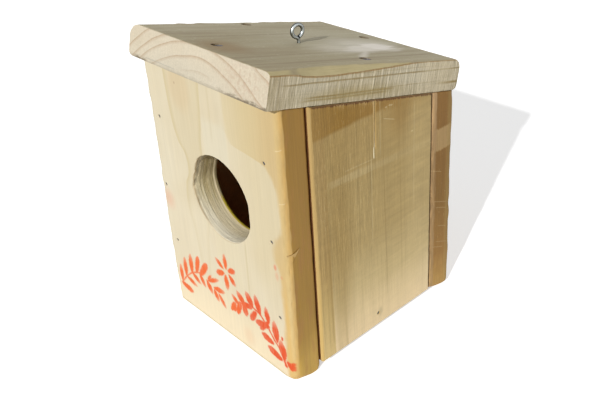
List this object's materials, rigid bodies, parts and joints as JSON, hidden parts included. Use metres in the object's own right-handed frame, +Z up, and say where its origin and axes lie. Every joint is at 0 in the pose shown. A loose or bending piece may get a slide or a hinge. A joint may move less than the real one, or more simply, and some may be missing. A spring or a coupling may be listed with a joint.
{
  "type": "nest box",
  "caption": "Wooden nest box with a round entrance in its front board, a one-piece sloping roof and an eye screw to hang it by.",
  "frame": {"origin": "on the ground, under the middle of the front board's outer face", "axes": "+Z up; the entrance faces -Y; +X to the right when looking at the entrance"},
  "size_m": [0.155, 0.1863, 0.2426],
  "materials": {
    "front_wood": "planed softwood, unpainted",
    "back_wood": "sawn softwood, weathered brown",
    "left_side_wood": "rough sawn softwood",
    "right_side_wood": "rough sawn softwood",
    "floor_wood": "sawn softwood",
    "roof_wood": "sawn softwood, weathered grey",
    "zinc": "bright zinc plate",
    "screw_steel": "zinc plate, dulled",
    "nail_steel": "plain steel, darkened"
  },
  "bodies": {
    "root": {"front_board": "front_wood", "back_board": "back_wood", "left_side_board": "left_side_wood", "right_side_board": "right_side_wood", "floor_board": "floor_wood", "roof_board": "roof_wood", "eye_screw": "zinc", "roof_screw_front": "screw_steel", "roof_screw_back": "screw_steel", "roof_screw_left": "screw_steel", "roof_screw_right": "screw_steel", "front_nail_left_upper": "nail_steel", "front_nail_left_middle": "nail_steel", "front_nail_left_lower": "nail_steel", "front_nail_right_upper": "nail_steel", "front_nail_right_middle": "nail_steel", "front_nail_right_lower": "nail_steel", "back_nail_left_upper": "nail_steel", "back_nail_left_middle": "nail_steel", "back_nail_left_lower": "nail_steel", "back_nail_right_upper": "nail_steel", "back_nail_right_middle": "nail_steel", "back_nail_right_lower": "nail_steel", "floor_nail_left": "nail_steel", "floor_nail_right": "nail_steel"}
  },
  "joints": []
}
